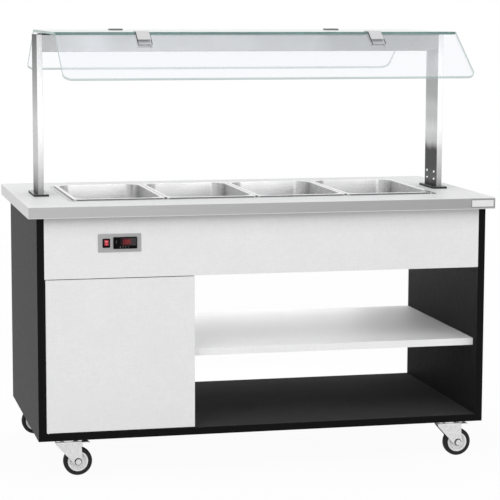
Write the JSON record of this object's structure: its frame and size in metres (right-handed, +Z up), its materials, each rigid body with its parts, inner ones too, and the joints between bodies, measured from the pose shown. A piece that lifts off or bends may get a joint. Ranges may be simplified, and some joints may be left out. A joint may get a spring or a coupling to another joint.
{
  "type": "heated serving trolley",
  "caption": "Heated serving trolley: cabinet on swivel castors with sunk food pans, open shelf, cupboard and a glass canopy on flat posts.",
  "frame": {"origin": "on the floor under the middle of the worktop", "axes": "+Z up, +X along the trolley to the right as seen from the control side, -Y towards the control side"},
  "size_m": [1.66, 1.035, 1.5303],
  "materials": {
    "black_board": "black laminated board, satin",
    "white_board": "white laminated board with a fine linen grain, satin",
    "worktop_slab": "pale laminated slab, satin",
    "stainless": "brushed stainless steel",
    "castor_steel": "bright zinc plate",
    "wheel_hub": "pale grey nylon",
    "wheel_tyre": "black rubber",
    "clear_glass": "clear toughened glass with green edges",
    "control_sheet": "satin anodised",
    "black_plastic": "black, fine texture",
    "red_plastic": "red translucent, gloss",
    "dark_window": "dark red window, gloss",
    "cap_rubber": "dark rubber pad"
  },
  "bodies": {
    "cabinet": {"side_panel_left": "black_board", "side_panel_right": "black_board", "bottom_panel": "black_board", "fascia_front": "white_board", "fascia_back": "white_board", "ceiling_board": "white_board", "shelf": "white_board", "shelf_pins": "stainless", "cupboard_divider": "white_board", "cupboard_back": "white_board", "door_bushes": "black_plastic", "worktop": "worktop_slab", "well": "stainless", "pan_bars": "stainless", "heating_element": "stainless", "control_plate": "control_sheet", "switch_bezel": "black_plastic", "thermostat_case": "black_plastic", "display_window": "dark_window", "post_left": "stainless", "post_right": "stainless", "post_plates": "stainless", "post_bolts": "stainless", "beam": "stainless", "glass_pads": "cap_rubber", "glass_top": "clear_glass", "glass_wing_front": "clear_glass", "glass_wing_back": "clear_glass", "glass_clips": "stainless", "castor_plates": "castor_steel"},
    "door": {"door_panel": "white_board", "door_pivots": "stainless"},
    "pan_1": {"pan_1": "stainless"},
    "pan_2": {"pan_2": "stainless"},
    "pan_3": {"pan_3": "stainless"},
    "pan_4": {"pan_4": "stainless"},
    "rocker": {"switch_rocker": "red_plastic"},
    "key_1": {"thermostat_key_1": "black_plastic"},
    "key_2": {"thermostat_key_2": "black_plastic"},
    "key_3": {"thermostat_key_3": "black_plastic"},
    "key_4": {"thermostat_key_4": "black_plastic"},
    "castor_front_left": {"castor_fork_front_left": "castor_steel", "castor_axle_front_left": "castor_steel"},
    "wheel_front_left": {"castor_hub_front_left": "wheel_hub", "castor_tyre_front_left": "wheel_tyre"},
    "pedal_front_left": {"brake_pedal_front_left": "castor_steel"},
    "castor_front_right": {"castor_fork_front_right": "castor_steel", "castor_axle_front_right": "castor_steel"},
    "wheel_front_right": {"castor_hub_front_right": "wheel_hub", "castor_tyre_front_right": "wheel_tyre"},
    "pedal_front_right": {"brake_pedal_front_right": "castor_steel"},
    "castor_back_left": {"castor_fork_back_left": "castor_steel", "castor_axle_back_left": "castor_steel"},
    "wheel_back_left": {"castor_hub_back_left": "wheel_hub", "castor_tyre_back_left": "wheel_tyre"},
    "castor_back_right": {"castor_fork_back_right": "castor_steel", "castor_axle_back_right": "castor_steel"},
    "wheel_back_right": {"castor_hub_back_right": "wheel_hub", "castor_tyre_back_right": "wheel_tyre"}
  },
  "joints": [
    {"name": "door_hinge", "type": "hinge", "parent": "cabinet", "child": "door", "pos_m": [-0.766, -0.4045, 0.16], "axis": [0, 0, -1], "range_deg": [0, 105]},
    {"name": "pan_1_lift", "type": "slide", "parent": "cabinet", "child": "pan_1", "axis": [0, 0, 1], "range_m": [0, 0.12]},
    {"name": "pan_2_lift", "type": "slide", "parent": "cabinet", "child": "pan_2", "axis": [0, 0, 1], "range_m": [0, 0.12]},
    {"name": "pan_3_lift", "type": "slide", "parent": "cabinet", "child": "pan_3", "axis": [0, 0, 1], "range_m": [0, 0.12]},
    {"name": "pan_4_lift", "type": "slide", "parent": "cabinet", "child": "pan_4", "axis": [0, 0, 1], "range_m": [0, 0.12]},
    {"name": "rocker_tilt", "type": "hinge", "parent": "cabinet", "child": "rocker", "pos_m": [-0.563, -0.4085, 0.815], "axis": [1, 0, 0], "range_deg": [0, 18]},
    {"name": "key_1_press", "type": "slide", "parent": "cabinet", "child": "key_1", "axis": [0, 1, 0], "range_m": [0, 0.0005], "stiffness_N_per_m": 2000},
    {"name": "key_2_press", "type": "slide", "parent": "cabinet", "child": "key_2", "axis": [0, 1, 0], "range_m": [0, 0.0005], "stiffness_N_per_m": 2000},
    {"name": "key_3_press", "type": "slide", "parent": "cabinet", "child": "key_3", "axis": [0, 1, 0], "range_m": [0, 0.0005], "stiffness_N_per_m": 2000},
    {"name": "key_4_press", "type": "slide", "parent": "cabinet", "child": "key_4", "axis": [0, 1, 0], "range_m": [0, 0.0005], "stiffness_N_per_m": 2000},
    {"name": "castor_front_left_swivel", "type": "hinge", "parent": "cabinet", "child": "castor_front_left", "pos_m": [-0.692, -0.3525, 0.122], "axis": [0, 0, 1], "continuous": true},
    {"name": "wheel_front_left_roll", "type": "hinge", "parent": "castor_front_left", "child": "wheel_front_left", "pos_m": [-0.659, -0.3525, 0.05], "axis": [0, 1, 0], "continuous": true},
    {"name": "pedal_front_left_press", "type": "hinge", "parent": "castor_front_left", "child": "pedal_front_left", "pos_m": [-0.654, -0.3525, 0.113], "axis": [0, 1, 0], "range_deg": [0, 8]},
    {"name": "castor_front_right_swivel", "type": "hinge", "parent": "cabinet", "child": "castor_front_right", "pos_m": [0.692, -0.3525, 0.122], "axis": [0, 0, 1], "continuous": true},
    {"name": "wheel_front_right_roll", "type": "hinge", "parent": "castor_front_right", "child": "wheel_front_right", "pos_m": [0.725, -0.3525, 0.05], "axis": [0, 1, 0], "continuous": true},
    {"name": "pedal_front_right_press", "type": "hinge", "parent": "castor_front_right", "child": "pedal_front_right", "pos_m": [0.73, -0.3525, 0.113], "axis": [0, 1, 0], "range_deg": [0, 8]},
    {"name": "castor_back_left_swivel", "type": "hinge", "parent": "cabinet", "child": "castor_back_left", "pos_m": [-0.692, 0.3275, 0.122], "axis": [0, 0, 1], "continuous": true},
    {"name": "wheel_back_left_roll", "type": "hinge", "parent": "castor_back_left", "child": "wheel_back_left", "pos_m": [-0.725, 0.3275, 0.05], "axis": [0, 1, 0], "continuous": true},
    {"name": "castor_back_right_swivel", "type": "hinge", "parent": "cabinet", "child": "castor_back_right", "pos_m": [0.692, 0.3275, 0.122], "axis": [0, 0, 1], "continuous": true},
    {"name": "wheel_back_right_roll", "type": "hinge", "parent": "castor_back_right", "child": "wheel_back_right", "pos_m": [0.659, 0.3275, 0.05], "axis": [0, 1, 0], "continuous": true}
  ]
}
